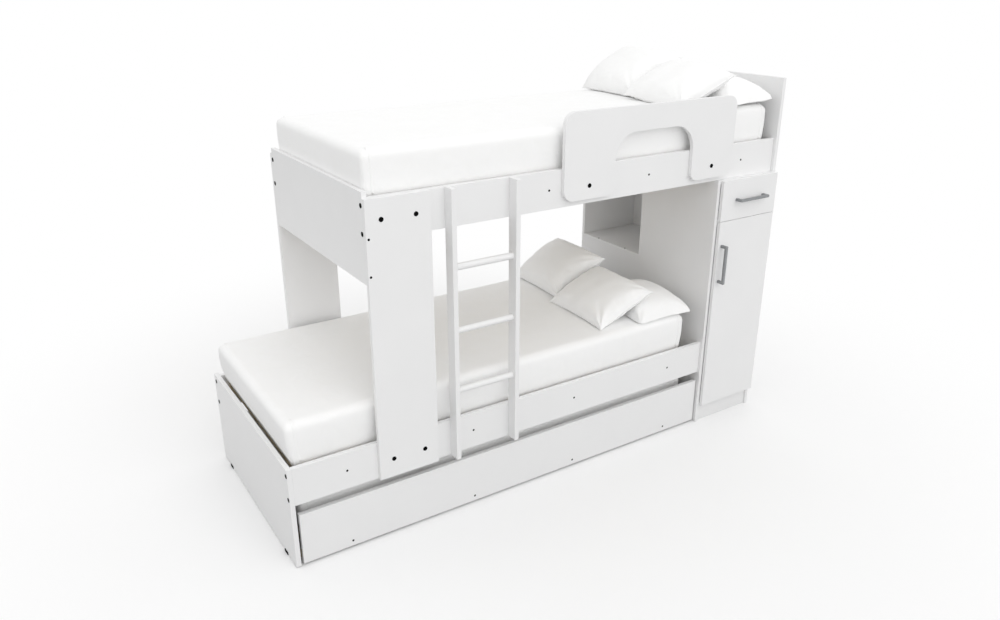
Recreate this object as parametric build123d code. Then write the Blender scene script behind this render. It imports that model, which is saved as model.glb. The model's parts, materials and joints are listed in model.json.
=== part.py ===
from build123d import *
import math
import os

os.makedirs("parts", exist_ok=True)

# Bunk bed with a narrow wardrobe at its head and a rolling trundle bed below.
# Sizes in millimetres. While building, x runs from the end board's outer face
# to the wardrobe, y from the front rails' outer face to the back, z up from the floor.

# Boards
board = 18.0
panel = 16.0
drawer_board = 12.0
thin_board = 3.0
edge_round = 0.8
overrun = 5.0
touch_gap = 0.3
running_gap = 0.4

# Beds
bay_length = 1900.0
mattress_width = 800.0
mattress_side_room = 9.0
lower_rail_bottom = 253.0
lower_rail_height = 145.0
upper_rail_height = 142.0
foot_lift = 2.0
footboard_height = 311.0
footboard_rise = 21.0
headboard_height = 394.0
leg_width = 236.0

# Bed decks
ledger_height = 30.0
ledger_depth = 20.0
ledger_end_gap = 10.0
slat_width = 70.0
slat_thickness = 18.0
slat_count = 12
slat_end_gap = 1.0
slat_margin = 30.0
slat_head_margin = 85.0

# Ladder
stile_depth = 48.0
ladder_offset = 297.0
rung_length = 239.6
rung_diameter = 25.0
rung_first_height = 275.0
rung_pitch = 236.0
rung_count = 3
rung_tenon = 8.0
rung_fit = 0.1

# Guardrail
guard_offset = 782.0
guard_length = 866.0
guard_rise = 20.0
guard_height = 325.0
guard_corner = 45.0
guard_foot_width = 238.0
guard_foot_right = 230.0
guard_arch_height = 229.0
guard_arch_radius = 100.0
guard_toe_radius = 36.0

# Wardrobe
cabinet_width = 348.0
cabinet_height = 1137.0
cabinet_lead = 13.0
front_gap = 0.8
reveal = 1.0
plinth_setback = 8.0
plinth_height = 84.0
door_bottom = 87.0
drawer_face_height = 177.0
niche_floor_height = 694.0
niche_width = 417.0
niche_screw_inset = 108.0
niche_screw_pitch = 200.0
shelf_height = 420.0
shelf_gap = 1.0
shelf_setback = 20.0
pin_radius = 2.5
pin_length = 16.0
pin_depth = 8.0
pin_inset = 60.0

# Drawer
runner_gap = 13.0
drawer_depth = 400.0
drawer_height = 120.0
drawer_lift = 10.0
drawer_bottom_lift = 10.0
groove_depth = 6.0
groove_gap = 0.2
runner_height = 35.0
runner_depth = 11.0
runner_wall = 1.2
runner_lift = 30.0

# Handles
handle_spacing = 160.0
handle_section = 12.0
handle_reach = 34.0
handle_round = 2.5
door_handle_inset = 22.0
door_handle_drop = 187.0
handle_screw_radius = 2.0
handle_screw_length = 24.0
handle_screw_head_radius = 4.0
handle_screw_head = 2.5

# Concealed hinges
hinge_end_inset = 100.0
cup_radius = 17.5
cup_depth = 11.5
cup_wall = 1.5
cup_edge = 4.5
cup_gap = 0.1
arm_length = 58.0
arm_height = 16.0
arm_depth = 11.0
plate_length = 38.0
plate_height = 32.0
plate_depth = 3.0

# Trundle bed
trundle_end_gap = 10.0
trundle_right_gap = 6.0
trundle_lift = 8.0
trundle_front_height = 202.0
trundle_back_height = 120.0
trundle_ledger_lift = 7.0
trundle_slat_count = 12
crossbar_inset = 32.0
crossbar_height = 32.0
caster_radius = 19.0
caster_width = 18.0
caster_inset = 60.0
caster_columns = 3
caster_wall = 1.5
caster_side_gap = 1.5
caster_axle_radius = 3.0
caster_axle_gap = 0.1
caster_plate_length = 44.0
caster_head = 1.5

# Fasteners
bolt_radius = 3.5
bolt_length = 50.0
bolt_tip = 4.0
cap_radius = 8.5
cap_proud = 1.2
bolt_pair = 47.0
leg_bolt_pair = 62.5
guard_bolt_inset = 117.0
screw_radius = 2.0
screw_head_radius = 4.3
screw_head = 2.4
ledger_screw_length = 35.0
edge_screw_length = 50.0
fastener_gap = 0.1
ledger_screw_inner = 240.0
ledger_screw_outer = 755.0
foot_screw_top = 131.0
foot_screw_pitch = 127.0
ladder_screw_drop = 35.0

# Floor glides of the end board
glide_length = 32.0
glide_height = 10.0
glide_inset = 86.0
glide_proud = 2.5

# Mattresses
lower_mattress_start = -1.0
lower_mattress_length = 1812.0
lower_mattress_foot_lean = 21.0
lower_mattress_height = 196.0
upper_mattress_start = 1.0
upper_mattress_length = 1864.0
upper_mattress_height = 188.0
trundle_mattress_start = 22.0
trundle_mattress_length = 1819.0
trundle_mattress_front_room = 39.0
trundle_mattress_back_room = 29.0
trundle_mattress_height = 175.0
mattress_round = 32.0
mattress_corner = 18.0
mattress_draw_in = 3.0
mattress_crown = 5.0
mattress_crown_inset = 150.0
mattress_arc_steps = 5
mattress_side_shares = (0.35, 0.55)
mattress_crown_shares = ((0.45, 0.4), (0.8, 0.65), (1.0, 1.0))

# Cushions
cushion_length = 297.0
cushion_width_share = 0.475
cushion_height_shares = (0, 0.25, 0.5, 0.7, 0.85, 0.94, 0.985)

# Each cushion's form: crown, belly, how far its sides draw in, then how square its
# outline stays and how soon its faces round over
back_cushion_form = (78.9, 49.1, 5.3, 2.66, 0.38)
middle_cushion_form = (65.5, 42.2, 6.2, 2.35, 0.37)
front_cushion_form = (87.2, 10.5, 10.9, 2.57, 0.76)

# Where each cushion's middle lies: from the mattress's head end, above its top, then
# its lean, turn and roll in degrees; from the middle line in shares of its width
lower_cushion_places = (
    (240.4, 77.4, 30.0, -5.1, -2.1),
    (293.0, 60.7, 24.1, -2.4, 0.2),
    (98.1, 4.6, 1.8, -4.4, 0.3),
)
upper_cushion_places = (
    (257.5, 81.8, 31.3, -3.2, 0.3),
    (317.0, 69.2, 24.5, -3.9, 3.0),
    (121.7, 10.4, 2.9, -2.0, 0.5),
)
lower_cushion_side_shares = (0.251875, -0.215625, -0.280375)
upper_cushion_side_shares = (0.232375, -0.233125, -0.293875)

# Places worked out from the sizes
total_length = board + bay_length + cabinet_width
upper_start = total_length - 2 * board - bay_length
rail_gap = mattress_width + 2 * mattress_side_room
bed_depth = rail_gap + 2 * board
back_face = bed_depth + board
cabinet_start = board + bay_length
cabinet_front = -cabinet_lead
door_back = cabinet_front - front_gap
door_front = door_back - panel
lower_rail_top = lower_rail_bottom + lower_rail_height
upper_rail_bottom = cabinet_height
upper_rail_top = upper_rail_bottom + upper_rail_height
lower_rail_middle = lower_rail_bottom + lower_rail_height / 2
upper_rail_middle = upper_rail_bottom + upper_rail_height / 2
front_rail_middle = board / 2
back_rail_middle = bed_depth - board / 2
lower_deck = lower_rail_middle + ledger_height / 2 + slat_thickness
upper_deck = upper_rail_middle + ledger_height / 2 + slat_thickness
footboard_top = upper_rail_top + footboard_rise
footboard_bottom = footboard_top - footboard_height
inner_left = cabinet_start + panel
inner_right = total_length - panel
cabinet_back_inner = back_face - panel
cabinet_top_inner = cabinet_height - panel
split_height = cabinet_height - drawer_face_height
niche_front = cabinet_back_inner - niche_width
divider_front = niche_front - panel
deck_bottom = split_height - panel / 2
deck_top = split_height + panel / 2
handle_front = door_front - handle_reach
guard_start = upper_start + guard_offset
guard_end = guard_start + guard_length
guard_bottom = upper_rail_bottom + guard_rise
stile_left = upper_start + ladder_offset
stile_right = stile_left + board + rung_length
trundle_start = board + trundle_end_gap
trundle_end = cabinet_start - trundle_right_gap
cushion_width = mattress_width * cushion_width_share
trundle_ledger_middle = trundle_lift + trundle_ledger_lift + ledger_height / 2
trundle_deck_bottom = trundle_ledger_middle + ledger_height / 2
trundle_deck = trundle_deck_bottom + slat_thickness
frame_origin = Vector(total_length / 2, (handle_front + back_face + cap_proud) / 2, 0)

LEFT = Vector(-1, 0, 0)
RIGHT = Vector(1, 0, 0)
FRONT = Vector(0, -1, 0)
BACK = Vector(0, 1, 0)
UP = Vector(0, 0, 1)


def block(x_span, y_span, z_span):
    """A square-edged box between two places on each axis."""
    low = [min(span) for span in (x_span, y_span, z_span)]
    high = [max(span) for span in (x_span, y_span, z_span)]
    size = [b - a for a, b in zip(low, high)]
    middle = [(a + b) / 2 for a, b in zip(low, high)]
    return Pos(*middle) * Box(*size)


def slab(x_span, y_span, z_span):
    """A board: a box whose edges are slightly rounded, as banded edges are."""
    box = block(x_span, y_span, z_span)
    return fillet(box.edges(), edge_round)


def standing(shape, place, outward):
    """Turn a shape from the z axis to the outward direction and move it to its place."""
    return Plane(origin=place, z_dir=outward).location * shape


def rod(radius, low, high):
    """A cylinder on the z axis between two heights."""
    return Pos(0, 0, (low + high) / 2) * Cylinder(radius, high - low)


def cone(low_radius, high_radius, low, high):
    """A cone on the z axis between two heights."""
    return Pos(0, 0, (low + high) / 2) * Cone(low_radius, high_radius, high - low)


def bolt(place, outward):
    """A connector bolt with its black cap on the board's face."""
    shank = rod(bolt_radius, bolt_tip - bolt_length, 0)
    tip = cone(bolt_radius / 2, bolt_radius, -bolt_length, bolt_tip - bolt_length)
    cap = rod(cap_radius, 0, cap_proud)
    cap = fillet(cap.edges().sort_by(Axis.Z)[-1], cap_proud / 2)
    return standing(shank + tip + cap, place, outward)


def bolt_hole(place, outward):
    """What a bolt needs cut away, with its clearance."""
    hole = rod(bolt_radius + fastener_gap, -bolt_length - fastener_gap, 0)
    return standing(hole, place, outward)


def screw(place, outward, length):
    """A countersunk screw, flush with the face."""
    shank = rod(screw_radius, -length, -screw_head)
    head = cone(screw_radius, screw_head_radius, -screw_head, 0)
    return standing(shank + head, place, outward)


def screw_hole(place, outward, length):
    """What a screw needs cut away, with its clearance."""
    shank = rod(screw_radius + fastener_gap, -length - fastener_gap, -screw_head)
    head = cone(screw_radius + fastener_gap, screw_head_radius + fastener_gap, -screw_head, 0)
    return standing(shank + head, place, outward)


def meets(shape, tool):
    """Whether two bounding boxes overlap."""
    a = shape.bounding_box()
    b = tool.bounding_box()
    lows = (a.min.X < b.max.X, a.min.Y < b.max.Y, a.min.Z < b.max.Z)
    highs = (b.min.X < a.max.X, b.min.Y < a.max.Y, b.min.Z < a.max.Z)
    return all(lows) and all(highs)


def drilled(shape, holes):
    """Cut every hole that reaches this shape."""
    for hole in holes:
        if meets(shape, hole):
            shape = shape - hole
    return shape


def save(name, shapes):
    """Write one sub-part, moved to the frame of the finished part."""
    if not isinstance(shapes, (list, tuple)):
        shapes = [shapes]
    solids = [solid.moved(Pos(-frame_origin)) for shape in shapes for solid in shape.solids()]
    made = solids[0] if len(solids) == 1 else Compound(children=solids)
    export_step(made, f"parts/{name}.step")


# Where the fasteners sit

def rail_middles():
    """The y of the front and the back rails' middle lines."""
    return (front_rail_middle, back_rail_middle)


def end_bolts(x, outward, heights):
    """Bolts through an end board into both rails' ends."""
    return [(Vector(x, y, z), outward) for y in rail_middles() for z in heights]


def pair_about(middle, pitch):
    """Two places on either side of a middle."""
    return (middle - pitch, middle + pitch)


def leg_bolts():
    """Bolts through both legs into the lower and upper rails."""
    columns = pair_about(upper_start + leg_width / 2, leg_bolt_pair)
    rows = (lower_rail_middle, upper_rail_middle)
    front = [(Vector(x, -board, z), FRONT) for x in columns for z in rows]
    back = [(Vector(x, back_face, z), BACK) for x in columns for z in rows]
    return front + back


def guard_bolts():
    """Bolts through the guardrail into the upper front rail."""
    columns = (guard_start + guard_bolt_inset, guard_end - guard_bolt_inset)
    return [(Vector(x, -board, upper_rail_middle), FRONT) for x in columns]


def bolt_places():
    """Every connector bolt's place and outward direction."""
    lower_pair = pair_about(lower_rail_middle, bolt_pair)
    upper_pair = pair_about(upper_rail_middle, bolt_pair)
    places = end_bolts(0, LEFT, lower_pair)
    places += end_bolts(inner_left, RIGHT, lower_pair)
    places += end_bolts(upper_start, LEFT, upper_pair)
    places += end_bolts(total_length, RIGHT, upper_pair)
    return places + leg_bolts() + guard_bolts()


def ledger_columns(start):
    """The four screw places along one bed's ledgers."""
    middle = start + bay_length / 2
    inner = pair_about(middle, ledger_screw_inner)
    outer = pair_about(middle, ledger_screw_outer)
    return (outer[0], inner[0], inner[1], outer[1])


def ledger_screws(start, height, front, back):
    """Screws through both rails into the ledgers behind them."""
    places = [(Vector(x, front, height), FRONT) for x in ledger_columns(start)]
    places += [(Vector(x, back, height), BACK) for x in ledger_columns(start)]
    return [(place, outward, ledger_screw_length) for place, outward in places]


def footboard_screws():
    """Screws through both legs into the footboard's edges."""
    x = upper_start + board / 2
    top = upper_rail_top - foot_screw_top
    heights = (top, top - foot_screw_pitch)
    front = [(Vector(x, -board, z), FRONT, edge_screw_length) for z in heights]
    back = [(Vector(x, back_face, z), BACK, edge_screw_length) for z in heights]
    return front + back


def ladder_screws():
    """Screws from inside the rails into the ladder stiles' back edges."""
    columns = (stile_left + board / 2, stile_right + board / 2)
    heights = (lower_rail_middle - ladder_screw_drop, upper_rail_middle - ladder_screw_drop)
    return [(Vector(x, board, z), BACK, edge_screw_length) for x in columns for z in heights]


def niche_screws():
    """Screws through the niche floor into the side panel's top edge."""
    x = cabinet_start + panel / 2
    first = cabinet_back_inner - niche_screw_inset
    rows = (first, first - niche_screw_pitch)
    return [(Vector(x, y, niche_floor_height), UP, edge_screw_length) for y in rows]


def frame_screws():
    """Every small screw of the standing frame."""
    places = ledger_screws(board, lower_rail_middle, 0, bed_depth)
    places += ledger_screws(upper_start + board, upper_rail_middle, 0, bed_depth)
    return places + footboard_screws() + ladder_screws() + niche_screws()


def trundle_screws():
    """The screws that hold the trundle's ledgers."""
    start = (trundle_start + trundle_end - bay_length) / 2
    return ledger_screws(start, trundle_ledger_middle, 0, bed_depth)


bolt_list = bolt_places()
screw_list = frame_screws()
trundle_screw_list = trundle_screws()
frame_holes = [bolt_hole(*place) for place in bolt_list]
frame_holes += [screw_hole(*place) for place in screw_list]
trundle_holes = [screw_hole(*place) for place in trundle_screw_list]


# Bed frame

def end_board():
    """The low end board, with notches for its glides."""
    shape = slab((0, board), (0, back_face), (foot_lift, lower_rail_top))
    for y in glide_middles():
        notch = block((-overrun, board + overrun), pair_about(y, glide_length / 2), (0, glide_height))
        shape = shape - notch
    return drilled(shape, frame_holes)


def glide_middles():
    """The y of the end board's two glides."""
    return (glide_inset + glide_length / 2, back_face - glide_inset - glide_length / 2)


def glides():
    """The black floor glides in the end board's bottom edge."""
    span = (-glide_proud, board + glide_proud)
    return [slab(span, pair_about(y, glide_length / 2), (0, glide_height)) for y in glide_middles()]


def rail(start, y_span, bottom, height):
    """One bed rail over the bay's length."""
    shape = slab((start, start + bay_length), y_span, (bottom, bottom + height))
    return drilled(shape, frame_holes)


def front_span():
    """The y span of the front rails."""
    return (0, board)


def back_span():
    """The y span of the back rails."""
    return (bed_depth - board, bed_depth)


def leg(y_span):
    """A broad leg that joins the lower rail to the upper one."""
    x_span = (upper_start, upper_start + leg_width)
    shape = slab(x_span, y_span, (lower_rail_bottom, upper_rail_top))
    return drilled(shape, frame_holes)


def footboard():
    """The board across the upper bed's foot."""
    x_span = (upper_start, upper_start + board)
    shape = slab(x_span, (0, bed_depth), (footboard_bottom, footboard_top))
    return drilled(shape, frame_holes)


def headboard():
    """The board across the upper bed's head, on the wardrobe's top."""
    x_span = (total_length - board, total_length)
    z_span = (cabinet_height, cabinet_height + headboard_height)
    shape = slab(x_span, (cabinet_front, back_face), z_span)
    return drilled(shape, frame_holes)


def ledgers(start, middle, holes):
    """The two strips that carry a bed's slats, inside its rails."""
    x_span = (start + ledger_end_gap, start + bay_length - ledger_end_gap)
    z_span = pair_about(middle, ledger_height / 2)
    front = slab(x_span, (board, board + ledger_depth), z_span)
    back = slab(x_span, (bed_depth - board - ledger_depth, bed_depth - board), z_span)
    return [drilled(front, holes), drilled(back, holes)]


def slats(start, length, bottom, count):
    """Cross slats from rail to rail."""
    first = start + slat_margin + slat_width / 2
    last = start + length - slat_head_margin - slat_width / 2
    pitch = (last - first) / (count - 1)
    y_span = (board + slat_end_gap, bed_depth - board - slat_end_gap)
    z_span = (bottom, bottom + slat_thickness)
    return [slab(pair_about(first + k * pitch, slat_width / 2), y_span, z_span) for k in range(count)]


# Ladder

def rung_heights():
    """The heights of the rungs' middle lines."""
    first = lower_rail_bottom + rung_first_height
    return [first + k * rung_pitch for k in range(rung_count)]


def stile(x):
    """A ladder stile with blind holes for the rungs."""
    shape = slab((x, x + board), (-stile_depth, 0), (lower_rail_bottom, upper_rail_top))
    inner = x + board if x == stile_left else x
    depth = rung_tenon + rung_fit
    for z in rung_heights():
        hole = rod(rung_diameter / 2 + rung_fit, -depth, depth)
        shape = shape - standing(hole, Vector(inner, -stile_depth / 2, z), RIGHT)
    return drilled(shape, frame_holes)


def rungs():
    """The round rungs with their ends in the stiles."""
    start = Vector(stile_left + board, -stile_depth / 2, 0)
    made = rod(rung_diameter / 2, -rung_tenon, rung_length + rung_tenon)
    return [standing(made, start + UP * z, RIGHT) for z in rung_heights()]


# Guardrail

def guardrail():
    """The rounded guard board with its arched opening."""
    width = guard_end - guard_start
    outline = Pos(width / 2, guard_height / 2) * RectangleRounded(width, guard_height, guard_corner)
    arch_left = guard_foot_width
    arch_right = width - guard_foot_right
    radius = guard_arch_radius
    top = guard_arch_height
    toe = guard_toe_radius
    slant = math.sqrt(0.5)
    edges = [
        Line((arch_left - toe, -overrun), (arch_left - toe, 0)),
        ThreePointArc(
            (arch_left - toe, 0),
            (arch_left - toe * (1 - slant), toe * (1 - slant)),
            (arch_left, toe),
        ),
        Line((arch_left, toe), (arch_left, top - radius)),
        ThreePointArc(
            (arch_left, top - radius),
            (arch_left + radius * (1 - slant), top - radius * (1 - slant)),
            (arch_left + radius, top),
        ),
        Line((arch_left + radius, top), (arch_right - radius, top)),
        ThreePointArc(
            (arch_right - radius, top),
            (arch_right - radius * (1 - slant), top - radius * (1 - slant)),
            (arch_right, top - radius),
        ),
        Line((arch_right, top - radius), (arch_right, toe)),
        ThreePointArc(
            (arch_right, toe),
            (arch_right + toe * (1 - slant), toe * (1 - slant)),
            (arch_right + toe, 0),
        ),
        Line((arch_right + toe, 0), (arch_right + toe, -overrun)),
        Line((arch_right + toe, -overrun), (arch_left - toe, -overrun)),
    ]
    opening = make_face(edges)
    front = Plane(origin=Vector(guard_start, 0, guard_bottom), x_dir=RIGHT, z_dir=FRONT)
    shape = extrude(front * (outline - opening), board)
    faces = shape.faces().filter_by(Axis.Y)
    shape = fillet(faces.edges(), edge_round)
    return drilled(shape, frame_holes)


# Wardrobe

def cabinet_left_side():
    """The side panel towards the bed, cut away at the top back for the niche."""
    shape = slab((cabinet_start, inner_left), (cabinet_front, cabinet_back_inner), (0, cabinet_top_inner))
    corner = block(
        (cabinet_start - overrun, inner_left + overrun),
        (niche_front, cabinet_back_inner + overrun),
        (niche_floor_height - panel, cabinet_top_inner + overrun),
    )
    return drilled(shape - corner, frame_holes)


def cabinet_right_side():
    """The outer side panel."""
    return slab((inner_right, total_length), (cabinet_front, back_face), (0, cabinet_top_inner))


def cabinet_top():
    """The top board, which carries the upper rails and the headboard."""
    z_span = (cabinet_top_inner, cabinet_height)
    return slab((cabinet_start, total_length), (cabinet_front, back_face), z_span)


def cabinet_back():
    """The back panel, whose left edge shows beside the niche."""
    return slab((cabinet_start, inner_right), (cabinet_back_inner, back_face), (0, cabinet_top_inner))


def cabinet_bottom():
    """The bottom board on its plinth."""
    z_span = (plinth_height, plinth_height + panel)
    return slab((inner_left, inner_right), (cabinet_front, cabinet_back_inner), z_span)


def cabinet_plinth():
    """The set-back board under the door."""
    front = cabinet_front + plinth_setback
    return slab((inner_left, inner_right), (front, front + panel), (0, plinth_height))


def niche_floor():
    """The floor of the open niche, over the side panel's top edge."""
    z_span = (niche_floor_height - panel, niche_floor_height)
    shape = slab((cabinet_start, inner_right), (niche_front, cabinet_back_inner), z_span)
    return drilled(shape, frame_holes)


def niche_divider():
    """The upright board between the niche and the closet."""
    z_span = (niche_floor_height - panel, cabinet_top_inner)
    return slab((inner_left, inner_right), (divider_front, niche_front), z_span)


def drawer_deck():
    """The board between the drawer and the door."""
    return slab((inner_left, inner_right), (cabinet_front, divider_front), (deck_bottom, deck_top))


def closet_shelf():
    """The loose shelf behind the door."""
    x_span = (inner_left + shelf_gap, inner_right - shelf_gap)
    y_span = (cabinet_front + shelf_setback, cabinet_back_inner)
    return slab(x_span, y_span, (shelf_height, shelf_height + panel))


def pin_places():
    """Where the shelf pins stand out of the side panels."""
    rows = (cabinet_front + shelf_setback + pin_inset, cabinet_back_inner - pin_inset)
    z = shelf_height - pin_radius
    left = [(Vector(inner_left, y, z), RIGHT) for y in rows]
    right = [(Vector(inner_right, y, z), LEFT) for y in rows]
    return left + right


def shelf_pins():
    """The four pins that carry the shelf."""
    return [standing(rod(pin_radius, -pin_depth, pin_length - pin_depth), *spot) for spot in pin_places()]


def pin_holes():
    """Blind holes for the shelf pins."""
    radius = pin_radius + fastener_gap
    return [standing(rod(radius, -pin_depth - fastener_gap, 0), *spot) for spot in pin_places()]


# Handles

def bar_handle(place, along):
    """A squared bar on two feet, standing out to the front."""
    half = handle_spacing / 2 + handle_section / 2
    bar = block(
        (-half, half),
        (-handle_section / 2, handle_section / 2),
        (handle_reach - handle_section, handle_reach),
    )
    for x in (-handle_spacing / 2, handle_spacing / 2):
        foot = block(pair_about(x, handle_section / 2), pair_about(0, handle_section / 2), (0, handle_reach))
        bar = bar + foot
    bar = bar.clean()
    edges = [edge for edge in bar.edges() if edge.center().Z > touch_gap]
    bar = fillet(edges, handle_round)
    shape = Plane(origin=place, x_dir=along, z_dir=FRONT).location * bar
    return drilled(shape, [handle_screw_hole(spot) for spot in handle_feet(place, along)])


def handle_feet(place, along):
    """The middles of a handle's two feet."""
    return [place + along * offset for offset in (-handle_spacing / 2, handle_spacing / 2)]


def handle_screw(foot):
    """The screw from behind the front into a handle's foot."""
    shank = rod(handle_screw_radius, -handle_screw_length, 0)
    head = rod(handle_screw_head_radius, 0, handle_screw_head)
    return standing(shank + head, foot + BACK * panel, BACK)


def handle_screw_hole(foot):
    """The hole for that screw through the front and into the foot."""
    hole = rod(handle_screw_radius + fastener_gap, -handle_screw_length - fastener_gap, 0)
    return standing(hole, foot + BACK * panel, BACK)


def handle_set(place, along):
    """A handle with its two screws."""
    return [bar_handle(place, along)] + [handle_screw(foot) for foot in handle_feet(place, along)]


drawer_front_bottom = split_height + reveal
drawer_front_top = cabinet_height - 2 * reveal
front_left = inner_left + reveal
front_right = total_length - reveal
front_middle = (front_left + front_right) / 2
drawer_handle_place = Vector(front_middle, door_front, (drawer_front_bottom + drawer_front_top) / 2)
door_top = split_height - reveal
door_handle_middle = door_top - door_handle_drop
door_handle_place = Vector(front_left + door_handle_inset, door_front, door_handle_middle)


# Drawer

drawer_left = inner_left + runner_gap
drawer_right = inner_right - runner_gap
drawer_back_face = door_back + drawer_depth
drawer_base = deck_top + drawer_lift
drawer_floor = drawer_base + drawer_bottom_lift


def drawer_groove():
    """The groove round the drawer box that holds its bottom."""
    reach = groove_depth + groove_gap
    return block(
        (drawer_left + drawer_board - reach, drawer_right - drawer_board + reach),
        (door_back - reach, drawer_back_face - drawer_board + reach),
        (drawer_floor - groove_gap / 2, drawer_floor + thin_board + groove_gap / 2),
    )


def drawer_front():
    """The drawer's front panel."""
    shape = slab((front_left, front_right), (door_front, door_back), (drawer_front_bottom, drawer_front_top))
    holes = [handle_screw_hole(foot) for foot in handle_feet(drawer_handle_place, RIGHT)]
    return drilled(shape - drawer_groove(), holes)


def drawer_sides():
    """The drawer's two sides."""
    y_span = (door_back, drawer_back_face)
    z_span = (drawer_base, drawer_base + drawer_height)
    left = slab((drawer_left, drawer_left + drawer_board), y_span, z_span)
    right = slab((drawer_right - drawer_board, drawer_right), y_span, z_span)
    return [left - drawer_groove(), right - drawer_groove()]


def drawer_back():
    """The drawer's back, between its sides."""
    x_span = (drawer_left + drawer_board, drawer_right - drawer_board)
    y_span = (drawer_back_face - drawer_board, drawer_back_face)
    shape = slab(x_span, y_span, (drawer_base, drawer_base + drawer_height))
    return shape - drawer_groove()


def drawer_bottom():
    """The thin bottom in the drawer's groove."""
    x_span = (drawer_left + drawer_board - groove_depth, drawer_right - drawer_board + groove_depth)
    y_span = (door_back - groove_depth, drawer_back_face - drawer_board + groove_depth)
    return block(x_span, y_span, (drawer_floor, drawer_floor + thin_board))


def channel(x_web, x_lips, y_span, z_span, wall):
    """A straight channel whose web is at one x and whose lips reach to another."""
    side = math.copysign(wall, x_lips - x_web)
    outer = block((x_web, x_lips), y_span, z_span)
    y_wide = (y_span[0] - overrun, y_span[1] + overrun)
    hollow = block((x_web + side, x_lips + side), y_wide, (z_span[0] + wall, z_span[1] - wall))
    return outer - hollow


def drawer_runners():
    """The fixed runner channels on the two side panels."""
    z_span = (drawer_base + runner_lift, drawer_base + runner_lift + runner_height)
    y_span = (cabinet_front, cabinet_front + drawer_depth)
    left = channel(inner_left, inner_left + runner_depth, y_span, z_span, runner_wall)
    right = channel(inner_right, inner_right - runner_depth, y_span, z_span, runner_wall)
    return [left, right]


def drawer_slides():
    """The slide channels on the drawer, which run inside the fixed ones."""
    inset = runner_wall + running_gap
    z_low = drawer_base + runner_lift
    z_span = (z_low + inset, z_low + runner_height - inset)
    y_span = (door_back, drawer_back_face)
    left = channel(drawer_left, inner_left + inset, y_span, z_span, runner_wall)
    right = channel(drawer_right, inner_right - inset, y_span, z_span, runner_wall)
    return [left, right]


# Door and its hinges

hinge_heights = (door_bottom + hinge_end_inset, door_top - hinge_end_inset)
cup_middle = front_right - cup_edge - cup_radius


def door_panel():
    """The closet door, with bores for the hinge cups."""
    shape = slab((front_left, front_right), (door_front, door_back), (door_bottom, door_top))
    bore = rod(cup_radius + cup_gap, -cup_depth - cup_gap, 0)
    for z in hinge_heights:
        shape = shape - standing(bore, Vector(cup_middle, door_back, z), BACK)
    holes = [handle_screw_hole(foot) for foot in handle_feet(door_handle_place, UP)]
    return drilled(shape, holes)


def hinge_cups():
    """The pressed cups sunk in the door."""
    cup = rod(cup_radius, -cup_depth, 0) - rod(cup_radius - cup_wall, cup_wall - cup_depth, 0)
    return [standing(cup, Vector(cup_middle, door_back, z), BACK) for z in hinge_heights]


def hinge_arms():
    """The arms and mounting plates on the outer side panel."""
    made = []
    for z in hinge_heights:
        plate = block(
            (inner_right - plate_depth, inner_right),
            (cabinet_front + arm_length - plate_length, cabinet_front + arm_length),
            pair_about(z, plate_height / 2),
        )
        arm = block(
            (inner_right - arm_depth, inner_right - plate_depth),
            (cabinet_front, cabinet_front + arm_length),
            pair_about(z, arm_height / 2),
        )
        made.append((plate + arm).clean())
    return made


# Trundle bed

def trundle_front():
    """The trundle's tall front panel."""
    z_span = (trundle_lift, trundle_lift + trundle_front_height)
    shape = slab((trundle_start, trundle_end), front_span(), z_span)
    return drilled(shape, trundle_holes)


def trundle_back():
    """The trundle's low back board."""
    z_span = (trundle_lift, trundle_lift + trundle_back_height)
    shape = slab((trundle_start, trundle_end), back_span(), z_span)
    return drilled(shape, trundle_holes)


def trundle_bay_start():
    """Where the trundle's ledger bay begins, centred on its front."""
    return (trundle_start + trundle_end - bay_length) / 2


def trundle_crossbars():
    """The two bars on edge that hold front and back apart."""
    y_span = (board + ledger_depth, bed_depth - board - ledger_depth)
    z_span = (trundle_deck_bottom - crossbar_height, trundle_deck_bottom)
    left = trundle_start + crossbar_inset
    right = trundle_end - crossbar_inset
    return [slab((left, left + board), y_span, z_span), slab((right - board, right), y_span, z_span)]


def caster_columns_x():
    """The middles of the casters, under the first, middle and last slats."""
    first = trundle_start + slat_margin + slat_width / 2 + board + crossbar_inset
    last = trundle_end - slat_margin - slat_width / 2 - board - crossbar_inset
    return [first + (last - first) * k / (caster_columns - 1) for k in range(caster_columns)]


def caster_rows():
    """The y of the front and the back casters."""
    return (board + caster_inset, bed_depth - board - caster_inset)


def trundle_slats():
    """Slats across the trundle; the ones over casters are centred on them."""
    columns = caster_columns_x()
    per_span = trundle_slat_count // (caster_columns - 1)
    y_span = (board + slat_end_gap, bed_depth - board - slat_end_gap)
    z_span = (trundle_deck_bottom, trundle_deck)
    made = []
    for low, high in zip(columns, columns[1:]):
        for k in range(per_span):
            x = low + (high - low) * k / per_span
            made.append(slab(pair_about(x, slat_width / 2), y_span, z_span))
    made.append(slab(pair_about(columns[-1], slat_width / 2), y_span, z_span))
    return made


def caster_fork(x, y):
    """A bent fork under a slat, with its riveted axle."""
    half = caster_width / 2 + caster_side_gap
    y_span = pair_about(y, caster_plate_length / 2)
    top = trundle_deck_bottom
    outer = block((x - half - caster_wall, x + half + caster_wall), y_span, (caster_radius, top))
    hollow = block((x - half, x + half), (y_span[0] - overrun, y_span[1] + overrun), (0, top - caster_wall))
    fork = outer - hollow
    for side in (-1, 1):
        lug = rod(caster_radius / 2, 0, caster_wall)
        spot = Vector(x + side * half, y, caster_radius)
        fork = fork + standing(lug, spot, RIGHT * side)
    reach = half + caster_wall + caster_head
    axle = standing(rod(caster_axle_radius, -reach, reach), Vector(x, y, caster_radius), RIGHT)
    return (fork + axle).clean()


def caster_forks():
    """All six caster forks."""
    return [caster_fork(x, y) for y in caster_rows() for x in caster_columns_x()]


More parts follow.
